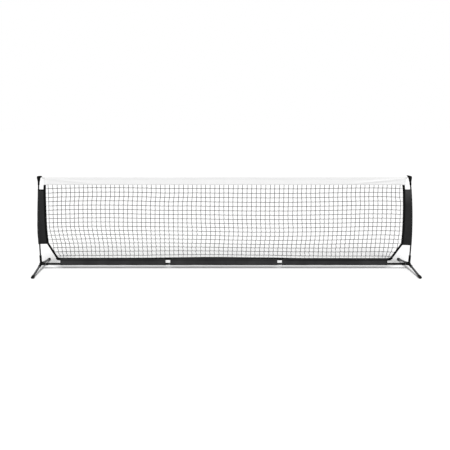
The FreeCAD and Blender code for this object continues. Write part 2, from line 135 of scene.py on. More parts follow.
# Tape round the net, as (outward, z) points of its middle
EDGE_FOOT = {-1: (1.661, 0.110), 1: (1.643, 0.109)}
EDGE_SIDE = {
    -1: [(1.7485, 0.268), (1.7545, 0.40), (1.7515, 0.58), (1.7440, 0.78), (1.7385, 0.847)],
    1: [(1.7415, 0.262), (1.7415, 0.40), (1.7325, 0.58), (1.7145, 0.78), (1.7035, 0.847)],
}
FOOT_Z = 0.110
FOOT_LINE = [
    (-1.64, -0.0045), (-1.0, -0.004), (-0.1, 0.004), (0.35, 0.0), (0.8, -0.007), (1.64, -0.008)
]
END_LIFT = 0.004
END_LIFT_REACH = 0.045
SIDE_TAPE_WIDTH = 0.023
TAPE_WIDTH = 0.020
FOOT_TAPE_WIDTH = 0.027
TAPE_LEAF = 0.0011
RIBBON_WANDER = 0.0004
TAPE_STEP = 0.012
TAPE_LAP = 0.004
CORNER_LAP = 0.006
CORNER_LIFT = 0.0009
PATCH_WIDTH = 0.022
PATCH_INNER = (-0.010, -0.002)
PATCH_OUTER = (0.014, 0.006)
PATCH_MIDDLE = (0.002, 0.002)
PATCH_STITCH = (0.008, 0.007)
PATCH_LIFT = 0.0017
PATCH_THREAD = 0.0023
STITCH_LENGTH = 0.0034
STITCH_PITCH = 0.0048
THREAD = 0.00042
STITCH_INSET = 0.003

# Side sleeves
CLOTH_PLY = 0.0009
SEAM_GAP = 0.00055
SEW_LINE = 0.0135
POLE_EASE = 0.0004
SLEEVE_HEM_SLOT = {-1: "edge_tape", 1: "side_cloth"}
SLEEVE_TOP_HEM = 0.013
SLEEVE_LOW_HEM = 0.011
SLEEVE_LOW_POLE = {-1: 0.259, 1: 0.246}
SLEEVE_LOW_TAPE = {-1: 0.260, 1: 0.248}
SLEEVE_SHORT = 0.002
SLEEVE_LAP = 0.0015
SLEEVE_LOOSE = {-1: 0.0085, 1: 0.0}
SLEEVE_CREASE = 0.0011
SLEEVE_EDGE_RIPPLE = 0.0012
HEM_LOOSE = 0.65
HEM_REACH = 0.26
BINDING_LIFT = 0.00055
LOW_HEM_LIFT = 0.0005
LOW_HEM_PLY = 0.0005
HEM_PAST = 0.001
HEM_STITCH = 0.002
SEAM_THREAD = 0.0011
BINDING_THREAD = 0.0021
LOW_HEM_THREAD = 0.0019
THREAD_LIFT = 0.0001
CLOTH_WEAVE = (0.0008, 0.00016, 0.72)
# Heights of the painted light on the side cloth: lighter from the lowest height upward, and lighter
# still at the top right, from the middle height to the highest
PAINTED_LIGHT_LOW_Z = 0.28
PAINTED_LIGHT_MIDDLE_Z = 0.66
PAINTED_LIGHT_HIGH_Z = 0.84

# Sleeve round the base bar
BAR_EASE = 0.0005
SKIRT_STEP = 0.014
SKIRT_NECK_Z = 0.089
SKIRT_FLARE = 0.005
SKIRT_FOLD = 0.0016
SKIRT_SAG = 0.0009
FLAP_SHORT = 0.001
FLAP_LIFT = 0.0010
FLAP_STITCH = 0.0045
END_STITCH = 0.004
BAR_HEM = 0.012
BAR_HEM_PAST = 0.0004
BAR_HEM_STITCH = 0.010
BAR_THREAD = 0.0022
NECK_THREAD = 0.0013

# White band. A crease is (start below the first, drop, width, depth).
BAND_CREASES = ((0.0, 0.10, 0.010, 1.0), (0.014, 0.06, 0.009, 0.5), (0.026, 0.20, 0.014, 0.5))
BAND_PLY = 0.0009
BAND_STEP = 0.012
BAND_HEM = 0.012
BAND_HEM_PAST = 0.0005
HEM_LIFT = 0.0006
HEM_PLY = 0.0006
CREASE_TOP = 0.010
CREASE_SHARE = {-1: 0.5, 1: 1.0}
CREASE_DEPTH = 0.0022
BAND_FLARE = 0.008
BAND_FLARE_REACH = 0.06
BAND_WAVE = 0.0009
BAND_WRINKLE = 0.0004
BAND_EDGE_RIPPLE = 0.0010
BAND_SEAM = 0.0085
BAND_LOW_STITCH = 0.004
BAND_TOP_STITCH = 0.006
BAND_END_THREAD = 0.0016
BAND_BOX = (0.006, 0.0045)
BAND_BOX_IN = 0.010
BAND_BOX_LIFT = 0.0012
CHANNEL_DEPTH = 0.0007
# Width of the painted shade along the band's top fold
FOLD_SHADE_WIDTH = 0.0045

# Strap and tip pockets
STRAP_WIDTH = 0.012
STRAP_THICKNESS = 0.0016
STRAP_Z = 0.910
STRAP_BEND_GAP = 0.004
STRAP_TIP_GAP = 0.015
STRAP_RISE = 0.021
STRAP_STEPS = 60
POCKET_DEPTH = 0.082
POCKET_EASE = 0.0021
POCKET_FLATS = 16
POCKET_LEVELS = 24
POCKET_FOLD = 0.0005
WING_PLY = 0.0018

# Poles and legs
POLE_TOP = 0.928
TIP_LEAN = {-1: 0.0395, 1: 0.071}
LEG_DARK = (0.038, 0.039, 0.041)
LEG_LIGHT = (0.068, 0.069, 0.072)


def low_corner(name):
    return Vector(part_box(name)[0])


def high_corner(name):
    return Vector(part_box(name)[1])


def middle(name):
    return (low_corner(name) + high_corner(name)) / 2


BAR_Z = middle("base_bar_center").z
BAR_RADIUS = high_corner("base_bar_center").y
POLE_RADIUS = high_corner("pole_right").y
SPAN = middle("leg_front_right").x
BOW_START = high_corner("corner_hub_right").z
BAND_LOW = low_corner("headband").z
BAND_HIGH = high_corner("headband").z
BAND_HALF = (high_corner("headband").x - low_corner("headband").x) / 2
BAND_OUT = high_corner("headband").y
TAPE_OUT = high_corner("side_tape_right").y
TAPE_TOP = high_corner("side_tape_right").z
SLEEVE_HIGH = high_corner("side_sleeve_right").z - SLEEVE_SHORT
POCKET_LOW = POLE_TOP - POCKET_DEPTH
POCKET_BODY = POLE_RADIUS + POCKET_EASE
HANG_X = middle("net_mesh").x


def clamp(value, low=0.0, high=1.0):
    return max(low, min(high, value))


def smooth(value):
    t = clamp(value)
    return t * t * (3 - 2 * t)


def blend(a, b, t):
    return a + (b - a) * t


def bell(distance, reach):
    """A share that is 1 at no distance and falls off smoothly on both sides."""
    return math.exp(-((distance / reach) ** 2))


def fall(distance, reach):
    """A share that falls from 1 as a distance grows."""
    return math.exp(-max(distance, 0.0) / reach)


def last_inside(inside, start, end, rounds):
    """The last place on the way from a start to an end that is still inside, by halving."""
    for _ in range(rounds):
        half = (start + end) / 2
        if inside(half):
            start = half
        else:
            end = half
    return start


def grey(value):
    return (value, value, value)


def ripple(seed, x, z=0.0, scale_x=1.0, scale_z=1.0):
    """Smooth noise between about -1 and 1 over the plane of the net."""
    return noise.noise(Vector((x / scale_x, z / scale_z, seed * 7.31 + 0.37)))


def pole_x(sign, z):
    """Distance of a bowed pole's axis from the middle of the frame at a height."""
    rise = POLE_TOP - BOW_START
    radius = (rise**2 + TIP_LEAN[sign] ** 2) / (2 * TIP_LEAN[sign])
    share = max(z - BOW_START, 0.0) / radius
    return SPAN - radius * (1 - math.sqrt(1 - share * share))


def hung_x(sign, out):
    """Place of a point of the fabric from its distance outward along the net."""
    return HANG_X + sign * out


def curve_point(points, t):
    """A point of a smooth curve through a few points, by its share of the way along."""
    last = len(points) - 1
    place = clamp(t) * last
    k = min(int(place), last - 1)
    share = place - k
    near = [points[clamp(k + i, 0, last)] for i in (-1, 0, 1, 2)]
    weights = (
        ((2 - share) * share - 1) * share / 2,
        ((3 * share - 5) * share * share + 2) / 2,
        ((4 - 3 * share) * share + 1) * share / 2,
        (share - 1) * share * share / 2,
    )
    return [sum(w * point[axis] for w, point in zip(weights, near)) for axis in (0, 1)]


def tape_x(sign, z):
    """Distance of the tape's centre line from the middle of the frame at a height."""
    points = EDGE_SIDE[sign]
    corner = points[0]
    foot = EDGE_FOOT[sign]
    if z < corner[1]:
        return blend(foot[0], corner[0], (z - foot[1]) / (corner[1] - foot[1]))
    share = last_inside(lambda t: curve_point(points, t)[1] < z, 0.0, 1.0, 16)
    return curve_point(points, share)[0]


def foot_z(x):
    """Height of the foot of the net, which hangs lower toward both sides."""
    for (start, first), (end, last) in zip(FOOT_LINE, FOOT_LINE[1:]):
        if x < end:
            return FOOT_Z + blend(first, last, smooth((x - start) / (end - start)))
    return FOOT_Z + FOOT_LINE[-1][1]


def side_of(x):
    return -1 if x < HANG_X else 1


# Building pieces


def placed(name, data):
    """A new object in the scene that shows a mesh, a light or a camera."""
    made = bpy.data.objects.new(name, data)
    bpy.context.scene.collection.objects.link(made)
    return made


class Shape:
    """Points and faces of one piece, gathered from its strips, tubes and stitches."""

    def __init__(self):
        self.points = []
        self.faces = []
        self.weave = []

    def add_rows(self, rows, closed=False, capped=False):
        """Joins rows by quads. A closed row is a ring, and capped ends are filled.

        A row is its points and their marks, which are places along and across the cloth.
        """
        rows = list(rows)
        first = len(self.points)
        size = len(rows[0][0])
        for points, marks in rows:
            self.points.extend(points)
            self.weave.extend(marks)
        steps = size if closed else size - 1
        for i in range(len(rows) - 1):
            for j in range(steps):
                a = first + i * size + j
                b = first + i * size + (j + 1) % size
                self.faces.append((a, b, b + size, a + size))
        if capped:
            last = first + (len(rows) - 1) * size
            self.faces.append(tuple(first + j for j in reversed(range(size))))
            self.faces.append(tuple(last + j for j in range(size)))

    def add_tube(self, path, half_width, half_depth):
        """A cord of oval section along points in the plane of the net."""
        angles = [2 * math.pi * k / CORD_SIDES for k in range(CORD_SIDES)]
        out = Vector((0, half_depth, 0))
        rows = []
        run = 0.0
        for i, point in enumerate(path):
            ahead = path[min(i + 1, len(path) - 1)] - path[max(i - 1, 0)]
            across = Vector((ahead.z, 0, -ahead.x)).normalized() * half_width
            if i:
                run += (point - path[i - 1]).length
            ring = [point + across * math.cos(a) + out * math.sin(a) for a in angles]
            rows.append((ring, [(run, a * half_width) for a in angles]))
        self.add_rows(rows, closed=True, capped=True)

    def add_diamond(self, center, along, across, out):
        """A six-pointed bead from three half axes."""
        first = len(self.points)
        tips = [center + along, center + across, center - along, center - across]
        self.points.extend(tips + [center + out, center - out])
        self.weave.extend([(0.0, 0.0)] * 6)
        for k in range(4):
            a = first + k
            b = first + (k + 1) % 4
            self.faces.append((a, b, first + 4))
            self.faces.append((b, a, first + 5))

    def add_stitches(self, path, face):
        """A row of stitches along points, standing out of the cloth's front (-1) or back (1)."""
        out = Vector((0, face, 0))
        gap = STITCH_PITCH / 2
        for start, end in zip(path, path[1:]):
            step = end - start
            length = step.length
            if length == 0:
                continue
            ahead = step / length
            across = ahead.cross(out).normalized()
            while gap < length:
                half = ahead * STITCH_LENGTH / 2
                self.add_diamond(start + ahead * gap, half, across * THREAD, out * THREAD)
                gap += STITCH_PITCH
            gap -= length

    def build(self, name, slot, nodes=(), ply=0.0):
        """Makes the piece, gives it its ply and lets it ride on the frame."""
        mesh = bpy.data.meshes.new(name)
        mesh.from_pydata([tuple(point) for point in self.points], [], self.faces)
        marks = mesh.attributes.new("weave", "FLOAT_VECTOR", "POINT")
        marks.data.foreach_set("vector", [part for mark in self.weave for part in (*mark, 0.0)])
        work = bmesh.new()
        work.from_mesh(mesh)
        bmesh.ops.recalc_face_normals(work, faces=work.faces)
        for face in work.faces:
            face.smooth = True
        work.to_mesh(mesh)
        work.free()
        piece = placed(name, mesh)
        if ply:
            sheet = piece.modifiers.new("ply", "SOLIDIFY")
            sheet.thickness = ply
            sheet.offset = 0
        piece.data.materials.append(finishes[slot])
        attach(piece, BODY)
        if nodes:
            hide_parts(*nodes)
        return piece


def build_cloth(name, slot, rows, ply, nodes=()):
    """A piece of cloth from its rows alone."""
    shape = Shape()
    shape.add_rows(rows)
    return shape.build(name, slot, nodes, ply)


# Materials


class Finish:
    """A material under construction: its principled shader and the nodes that feed it."""

    def __init__(self, name, roughness, metallic=0.0, coat=0.0, specular=0.5):
        self.material = bpy.data.materials.new(name)
        self.material.use_nodes = True
        self.tree = self.material.node_tree
        self.shader = self.tree.nodes["Principled BSDF"]
        self.base = roughness
        for key, value in (
            ("Roughness", roughness),
            ("Metallic", metallic),
            ("Coat Weight", coat),
            ("Coat Roughness", COAT_ROUGHNESS),
            ("Specular IOR Level", specular),
        ):
            self.feed(self.shader.inputs[key], value)

    def feed(self, socket, value):
        """Links a socket to another one, or sets it to a number or a colour."""
        if isinstance(value, bpy.types.NodeSocket):
            self.tree.links.new(value, socket)
        else:
            socket.default_value = (*value, 1.0) if socket.type == "RGBA" else value

    def made(self, kind, output, links=None, **settings):
        """Adds a node with its settings, feeds its sockets and returns one of its outputs."""
        node = self.tree.nodes.new("ShaderNode" + kind)
        for key, value in settings.items():
            setattr(node, key, value)
        for key, value in (links or {}).items():
            self.feed(node.inputs[key], value)
        return node.outputs[output]

    def place(self):
        return self.made("TexCoord", "Object")

    def weave_place(self):
        return self.made("Attribute", "Vector", attribute_name="weave")

    def axis(self, place, letter):
        return self.made("SeparateXYZ", letter, {"Vector": place})

    def stretched(self, place, scale):
        return self.made("Mapping", "Vector", {"Vector": place, "Scale": scale})

    def grain(self, place, scale, detail=3.0, roughness=0.55):
        links = {"Vector": place, "Scale": scale, "Detail": detail, "Roughness": roughness}
        return self.made("TexNoise", "Fac", links)

    def bands(self, place, scale, direction):
        return self.made("TexWave", "Fac", {"Vector": place, "Scale": scale}, bands_direction=direction)

    def yarns(self, place, pitch, direction):
        """Rounded ridges at a pitch in metres."""
        return self.bands(place, math.pi / (10 * pitch), direction)

    def math(self, operation, a, b=0.5):
        return self.made("Math", 0, {0: a, 1: b}, operation=operation)

    def ramp(self, value, low, high, to_low=0.0, to_high=1.0):
        ends = {"From Min": low, "From Max": high, "To Min": to_low, "To Max": to_high}
        return self.made("MapRange", "Result", {"Value": value, **ends})

    def mixed(self, share, first, second):
        """A mix of two colours, which are inputs 6 and 7 of Blender's Mix node, and output 2."""
        return self.made("Mix", 2, {0: share, 6: first, 7: second}, data_type="RGBA")

    def colour(self, share, first, second):
        self.feed(self.shader.inputs["Base Color"], self.mixed(share, first, second))

    def roughness(self, value, low, high, to_low, to_high):
        """Shifts the roughness from one amount to another as a value goes from low to high."""
        shifted = self.ramp(value, low, high, self.base + to_low, self.base + to_high)
        self.feed(self.shader.inputs["Roughness"], shifted)

    def bump(self, height, distance, strength):
        links = {"Height": height, "Distance": distance, "Strength": strength}
        self.feed(self.shader.inputs["Normal"], self.made("Bump", "Normal", links))


def tinted(colour, share):
    return tuple(channel * share for channel in colour)


def moulded(name, dark, light, roughness, pebble, depth):
    """Moulded plastic or rubber with a fine pebbled skin and faint rubbed patches."""
    finish = Finish(name, roughness, specular=0.06)
    place = finish.place()
    second_colour_share = finish.ramp(finish.grain(place, 38.0, 5.0), 0.45, 0.75)
    finish.colour(second_colour_share, dark, light)
    finish.roughness(second_colour_share, 0.0, 1.0, 0.06, -0.10)
    finish.bump(finish.grain(place, pebble, 2.0), depth, 0.6)
    return finish.material


def coated_tube(name, dark, light, roughness, metallic, specular, streak):
    """Coated tube: orange-peel skin, streaks along the tube and a few rubbed scratches."""
    finish = Finish(name, roughness, metallic=metallic, specular=specular)
    place = finish.place()
    streaks = finish.grain(finish.stretched(place, streak), 1.0, 4.0)
    scratched = finish.ramp(finish.grain(place, 90.0, 6.0, 0.7), 0.62, 0.70)
    base = finish.mixed(finish.ramp(streaks, 0.3, 0.7), dark, light)
    worn = tuple(min(1.0, channel * 1.6 + 0.01) for channel in light)
    finish.colour(finish.math("MULTIPLY", scratched, 0.35), base, worn)
    finish.roughness(streaks, 0.2, 0.8, -0.07, 0.09)
    finish.bump(finish.grain(place, 700.0, 2.0), 0.00012, 0.5)
    return finish.material


def bare_metal(name, tint, roughness, streak):
    """Plated or spring steel with fine drawn lines."""
    finish = Finish(name, roughness, metallic=1.0)
    lines = finish.grain(finish.stretched(finish.place(), streak), 1.0)
    finish.colour(finish.ramp(lines, 0.3, 0.7), tinted(tint, 0.72), tint)
    finish.roughness(lines, 0.2, 0.8, -0.06, 0.10)
    finish.bump(lines, 0.00005, 0.4)
    return finish.material


def woven(name, dark, light, pitch, depth, roughness, patchy=1.0, painted_light_top=0.0, painted_light_right=0.0):
    """Plain-woven cloth: yarns over and under one another with painted shade between them, slubs, faded
    patches, and painted light that makes it lighter higher up and at the top right.
    """
    finish = Finish(name, roughness, specular=0.10)
    weave = finish.weave_place()
    place = finish.place()
    over = finish.made("TexChecker", "Fac", {"Vector": weave, "Scale": 1.0 / pitch})
    warp = finish.math("MULTIPLY", finish.yarns(weave, pitch, "X"), over)
    weft = finish.math("MULTIPLY", finish.yarns(weave, pitch, "Y"), finish.math("SUBTRACT", 1.0, over))
    height = finish.math("ADD", warp, weft)
    slubs = finish.grain(finish.stretched(weave, (40.0, 900.0, 1.0)), 1.0)
    patches = finish.ramp(finish.grain(place, 6.0, 5.0), 0.35, 0.68, 0.0, patchy)
    # painted light: the cloth is made lighter higher up, and much lighter near the top of the right side
    up = finish.axis(place, "Z")
    painted_light_higher = finish.ramp(up, PAINTED_LIGHT_LOW_Z, PAINTED_LIGHT_HIGH_Z, 0.0, painted_light_top)
    painted_light_highest = finish.ramp(up, PAINTED_LIGHT_MIDDLE_Z, PAINTED_LIGHT_HIGH_Z, 0.0, painted_light_right)
    painted_light_at_right = finish.math("MULTIPLY", finish.ramp(finish.axis(place, "X"), 0.0, SPAN), painted_light_highest)
    lighter_share = finish.math("ADD", finish.math("ADD", patches, painted_light_higher), painted_light_at_right)
    body = finish.mixed(finish.ramp(lighter_share, 0.0, 1.0), dark, light)
    # painted shade: the low places between the yarns are darkened
    shaded = finish.mixed(finish.ramp(height, 0.0, 1.0, 0.42, 0.0), body, grey(0.004))
    finish.colour(finish.ramp(slubs, 0.60, 0.80, 0.0, 0.5), shaded, tinted(dark, 2.2))
    finish.roughness(height, 0.0, 1.0, 0.08, -0.06)
    finish.bump(height, depth, 0.7)
    return finish.material


def webbing(name, dark, light, rib, depth, roughness):
    """Narrow webbing with ribs across its width, yarns along it, painted shade in the low places between
    them, and faded patches.
    """
    finish = Finish(name, roughness, specular=0.06)
    place = finish.weave_place()
    along = finish.math("MULTIPLY", finish.yarns(place, rib * 0.7, "Y"), 0.45)
    height = finish.math("ADD", finish.yarns(place, rib, "X"), along)
    lighter_share = finish.grain(finish.place(), 14.0, 5.0)
    body = finish.mixed(finish.ramp(lighter_share, 0.35, 0.7), dark, light)
    # painted shade: the low places between the ribs and yarns are darkened
    finish.colour(finish.ramp(height, 0.2, 1.3, 0.5, 0.0), body, tinted(dark, 0.35))
    finish.roughness(height, 0.0, 1.4, 0.08, -0.05)
    finish.bump(height, depth, 0.8)
    return finish.material


def coated_cloth(name, clean, soiled_and_shaded, roughness, crown):
    """White coated cloth: a leathery skin over a faint base weave, soiled in random patches, with
    painted shade along its top fold.
    """
    finish = Finish(name, roughness, coat=0.05)
    place = finish.weave_place()
    skin = finish.grain(place, 1100.0)
    base = finish.math("MULTIPLY", finish.bands(place, 260.0, "X"), finish.bands(place, 260.0, "Y"))
    soil = finish.ramp(finish.grain(finish.place(), 4.5, 6.0, 0.6), 0.48, 0.85, 0.0, 0.3)
    from_fold = finish.math("ABSOLUTE", finish.math("SUBTRACT", finish.axis(place, "Y"), crown))
    # painted shade: the band is darkened along its top fold
    second_colour_share = finish.ramp(from_fold, FOLD_SHADE_WIDTH, 2 * FOLD_SHADE_WIDTH, 1.0, 0.0)
    finish.colour(finish.math("MAXIMUM", soil, second_colour_share), clean, soiled_and_shaded)
    finish.roughness(skin, 0.3, 0.7, -0.06, 0.08)
    finish.bump(finish.math("ADD", skin, finish.math("MULTIPLY", base, 0.6)), 0.00012, 0.5)
    return finish.material


def twisted_cord(name, dark, light):
    """Twisted twine: slanting strands along the cord, with painted shade in the grooves between them."""
    finish = Finish(name, 0.62, specular=0.1)
    slant = {"Vector": finish.weave_place(), "Rotation": (0.0, 0.0, math.radians(38))}
    strands = finish.yarns(finish.made("Mapping", "Vector", slant), 0.0011, "X")
    # painted shade: the grooves between the strands are darker
    finish.colour(strands, dark, light)
    finish.bump(strands, 0.00025, 0.8)
    return finish.material


# A finish is the function that makes it, its name, and what that function takes after the name
FINISHES = (
    (moulded, "hub_plastic", grey(0.003), grey(0.009), 0.50, 900.0, 0.00012),
    (moulded, "foot_rubber", grey(0.009), (0.022, 0.021, 0.020), 0.72, 650.0, 0.0002),
    (moulded, "pole_tip_vinyl", grey(0.006), grey(0.012), 0.5, 800.0, 0.0001),
    (coated_tube, "bar_steel", grey(0.004), grey(0.009), 0.50, 0.0, 0.06, (6.0, 220.0, 220.0)),
    (coated_tube, "leg_steel", LEG_DARK, LEG_LIGHT, 0.40, 0.30, 0.30, (220.0, 6.0, 220.0)),
    (coated_tube, "pole_fibreglass", grey(0.004), grey(0.009), 0.45, 0.0, 0.06, (300.0, 300.0, 5.0)),
    (bare_metal, "spring_steel", (0.42, 0.43, 0.45), 0.30, (30.0, 400.0, 900.0)),
    (bare_metal, "button_steel", (0.66, 0.66, 0.67), 0.26, (500.0, 90.0, 500.0)),
    (twisted_cord, "net_cord", grey(0.004), grey(0.013)),
    (webbing, "edge_tape", grey(0.004), grey(0.008), 0.0011, 0.00022, 0.72),
    (webbing, "strap_webbing", grey(0.74), grey(0.84), 0.0012, 0.0002, 0.62),
    (webbing, "pocket_webbing", grey(0.004), grey(0.009), 0.0012, 0.00024, 0.7),
    # The side cloth's last two numbers are painted light: lighter higher up, and at the top right
    (woven, "side_cloth", (0.0155, 0.0155, 0.016), (0.100, 0.100, 0.101), *CLOTH_WEAVE, 0.12, 0.18, 0.8),
    (woven, "bar_cloth", (0.025, 0.025, 0.026), (0.042, 0.042, 0.043), *CLOTH_WEAVE),
    # The band's second colour serves both its soiled patches and the painted shade along its top fold
    (coated_cloth, "headband_vinyl", grey(0.95), (0.77, 0.77, 0.765), 0.48, BAND_HIGH - BAND_LOW),
)
finishes = {name: kind(name, *values) for kind, name, *values in FINISHES}


def finish_frame():
    """Gives each piece of the frame that stays in view its finish, by the last start that fits."""
    kept = {
        "corner_hub": "hub_plastic",
        "foot_cap": "foot_rubber",
        "base_bar": "bar_steel",
        "leg_": "leg_steel",
        "pole_": "pole_fibreglass",
        "pole_tip_cap": "pole_tip_vinyl",
        "bar_button": "button_steel",
        "bar_button_spring": "spring_steel",
        "hub_button": "button_steel",
        "hub_button_spring": "spring_steel",
    }
    for name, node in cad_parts.items():
        for start, slot in kept.items():
            if name.startswith(start):
                for material_slot in node.material_slots:
                    material_slot.material = finishes[slot]


# Net


def net_sag(x, share):
    """How far a crossing hangs low, by its share of the way down the net."""
    belly = smooth((BELLY_REACH - abs(x - BELLY_X)) / BELLY_EDGE) * smooth((1 - share) * 5)
    sag = BELLY_SAG * belly * (0.7 + 0.35 * math.sin(math.pi * share))
    slump = SLUMP_SAG * bell(x - SLUMP_X, SLUMP_REACH) * math.cos(math.pi * share**1.4)
    return sag + slump - FOOT_LIFT * share**2


def drawn_in(x, z):
    """How far the corner tapes draw a low part of the net in from its sides."""
    sign = side_of(x)
    near = bell(MESH_OUTER[sign] - abs(x), DRAW_REACH[sign])
    return DRAW_IN[sign] * near * smooth((DRAW_TOP_Z - z) / DRAW_DEPTH)


def column_x(column):
    """Place of a column of the net, whose columns crowd a little toward both sides."""
    from_left = column * MESH_PITCH
    from_right = (MESH_COLUMNS - 1 - column) * MESH_PITCH
    x = MESH_FIRST_X + from_left + CROWD_IN[-1] * fall(from_left, CROWD_REACH[-1])
    return x - CROWD_IN[1] * bell(from_right, CROWD_REACH[1])


def swung(x, z):
    """How far a place in the net has shifted to the right."""
    sign = side_of(x)
    neck = smooth((abs(x - NECK_X) - NECK_START) / NECK_BLEND)
    neck *= NECK_IN[sign] * smooth((z - NECK_LOW_Z) / NECK_DEPTH)
    neck *= 1 + NECK_EDGE[sign] * fall(MESH_OUTER[sign] - abs(x), NECK_EDGE_REACH)
    swing = smooth((SWING_REACH - abs(x - SWING_X)) / SWING_BLEND)
    return SWING * bell(z - SWING_Z, SWING_DEPTH) * swing - sign * neck


def net_node(column, row):
    """A crossing of the net, pulled about by its own slack."""
    x = column_x(column)
    share = row / (MESH_ROWS - 1)
    z = MESH_TOP_Z - row * MESH_ROW_PITCH - net_sag(x, share) + share**6 * (foot_z(x) - FOOT_Z)
    spread = SPREAD_SHARE * smooth((MESH_TOP_Z - z) / SPREAD_DEPTH)
    slack = blend(0.3, 1.0, smooth(share))
    side = fall(tape_x(side_of(x), z) - abs(x), SIDE_DROOP_REACH)
    dx = (x - HANG_X) * spread - side_of(x) * drawn_in(x, z) + swung(x, z)
    dx += COLUMN_RIPPLE * slack * ripple(1, x, z, 0.10, 0.06)
    dx += COLUMN_RIPPLE * ripple(2, x, z, 0.03, 0.25)
    dz = ROW_RIPPLE * ripple(3, x, z, 0.42, 0.9) - SIDE_DROOP * side * (1 - 0.6 * slack)
    dz += KNOT_RIPPLE * ripple(4, x, z, 0.05, 0.05)
    return Vector((gathered(x + dx, z + dz), 0, z + dz))


def gathered(x, z):
    """Draws a place in the net's lower corners in, so that the cords there run along the tape."""
    sign = side_of(x)
    limit = tape_x(sign, z) - GATHER_GAP
    outermost = MESH_OUTER[sign] - drawn_in(sign * MESH_OUTER[sign], z)
    start = limit - GATHER_REACH
    if limit >= outermost or abs(x) <= start:
        return x
    share = min((abs(x) - start) / (outermost - start), 1.0)
    return sign * (abs(x) - (outermost - limit) * share * share)


def inside_tape(point):
    return abs(point.x) < tape_x(side_of(point.x), point.z) and point.z > foot_z(point.x)


def kept_runs(points):
    """The runs of a cord that lie inside the tape, up to where it goes under the tape's middle."""
    runs = []
    run = []
    for i, point in enumerate(points):
        if inside_tape(point):
            if not run and i:
                run.append(last_inside(inside_tape, point, points[i - 1], 12))
            run.append(point)
        elif run:
            run.append(last_inside(inside_tape, run[-1], point, 12))
            runs.append(run)
            run = []
    if run:
        runs.append(run)
    return [run for run in runs if len(run) > 1]


def add_cord(shape, path, depth, share=1.0):
    """A cord along a path at a depth, cut where it goes under the tape."""
    for run in kept_runs(path):
        shape.add_tube([p + depth for p in run], share * CORD_WIDTH / 2, share * CORD_DEPTH / 2)


def make_net():
    """The net: columns, rows and knots, with thinner laces between its edge and the tape."""
    random.seed(11)
    shape = Shape()
    nodes = [[net_node(i, k) for k in range(MESH_ROWS)] for i in range(MESH_COLUMNS)]
    out = Vector((0, CORD_OUT, 0))
    for column in nodes:
        path = [Vector((column[0].x, 0, BAND_LOW + MESH_TUCK))]
        for k, point in enumerate(column):
            slack = smooth(k / (MESH_ROWS - 1))
            jog = JOG * (0.35 + slack) * (1.0 + ripple(5, point.x, point.z, 0.2, 0.2))
            path.append(point + Vector((jog, 0, CROSSING)))
            path.append(point - Vector((jog, 0, CROSSING)))
            if k < MESH_ROWS - 1:
                half = (point + column[k + 1]) / 2
                aside = CORD_RIPPLE * ripple(6, half.x, half.z, 0.02, 0.02)
                path.append(half + Vector((aside, 0, 0)))
        add_cord(shape, path, -out)
        x = column[-1].x
        tied = Vector((x + 2 * LACE_SKEW, 0, foot_z(x) + LACE_SKEW))
        add_cord(shape, [path[-1], tied], -out, LACE_SHARE)
    for row in zip(*nodes):
        path = []
        for i, point in enumerate(row):
            tilt = CORD_WANDER * ripple(7, point.x, point.z, 0.05, 0.05)
            path.append(point + Vector((-CROSSING, 0, tilt)))
            path.append(point + Vector((CROSSING, 0, -tilt)))
            if i < MESH_COLUMNS - 1:
                half = (point + row[i + 1]) / 2
                sag = CORD_SAG + CORD_WANDER * ripple(8, half.x, half.z, 0.03, 0.03)
                path.append(half - Vector((0, 0, sag)))
        add_cord(shape, path, out)
        for sign, z, end in ((-1, row[0].z, path[0]), (1, row[-1].z, path[-1])):
            tied = Vector((sign * (tape_x(sign, z) + LACE_HOLD), 0, z - LACE_SKEW))
            add_cord(shape, sorted((tied, end), key=lambda place: place.x), out, LACE_SHARE)
    for column in nodes:
        for point in filter(inside_tape, column):
            turn = random.uniform(-0.5, 0.5)
            along = Vector((math.cos(turn), 0, math.sin(turn))) * KNOT_REACH
            across = Vector((-along.z, 0, along.x)) * random.uniform(0.7, 0.95)
            shape.add_diamond(point, along, across, Vector((0, KNOT_DEPTH, 0)))
    shape.build("net_cords", "net_cord", ["net_mesh"])


# Tape round the net


def flat_run(start, end):
    """Points along a straight run in the plane of the net."""
    a = Vector((start[0], 0, start[1]))
    b = Vector((end[0], 0, end[1]))
    count = max(2, round((b - a).length / TAPE_STEP))
    return [a + (b - a) * i / count for i in range(count + 1)]


def across_path(path):
    """Directions across a path in the plane of the net, one for each of its points."""
    sides = []
    for i in range(len(path)):
        ahead = (path[min(i + 1, len(path) - 1)] - path[max(i - 1, 0)]).normalized()
        sides.append(Vector((-ahead.z, 0, ahead.x)))
    return sides


def ribbon_section(half_width, thickness):
    """Outline of a ribbon with rounded edges, as (across, out) pairs."""
    edge = thickness / 2
    bevel = edge * 0.7
    inner = half_width - edge
    half = [(-inner + 2 * inner * k / 6, -edge) for k in range(7)]
    half += [(inner + bevel, -bevel), (inner + edge, 0.0), (inner + bevel, bevel)]
    return half + [(-u, -v) for u, v in half]


def add_ribbon(shape, path, width, thickness, y=0.0, seed=0):
    """A flat ribbon of webbing at a depth, with slightly wandering edges."""
    section = ribbon_section(width / 2, thickness)
    rows = []
    run = 0.0
    for i, (point, across) in enumerate(zip(path, across_path(path))):
        if i:
            run += (point - path[i - 1]).length
        shift = across * RIBBON_WANDER * ripple(seed, run, 0, 0.09)
        depth = y + RIBBON_WANDER * ripple(seed + 1, run, 0, 0.06)
        points = [point + shift + across * u + Vector((0, depth + v, 0)) for u, v in section]
        rows.append((points, [(run, u) for u, v in section]))
    shape.add_rows(rows, closed=True, capped=True)


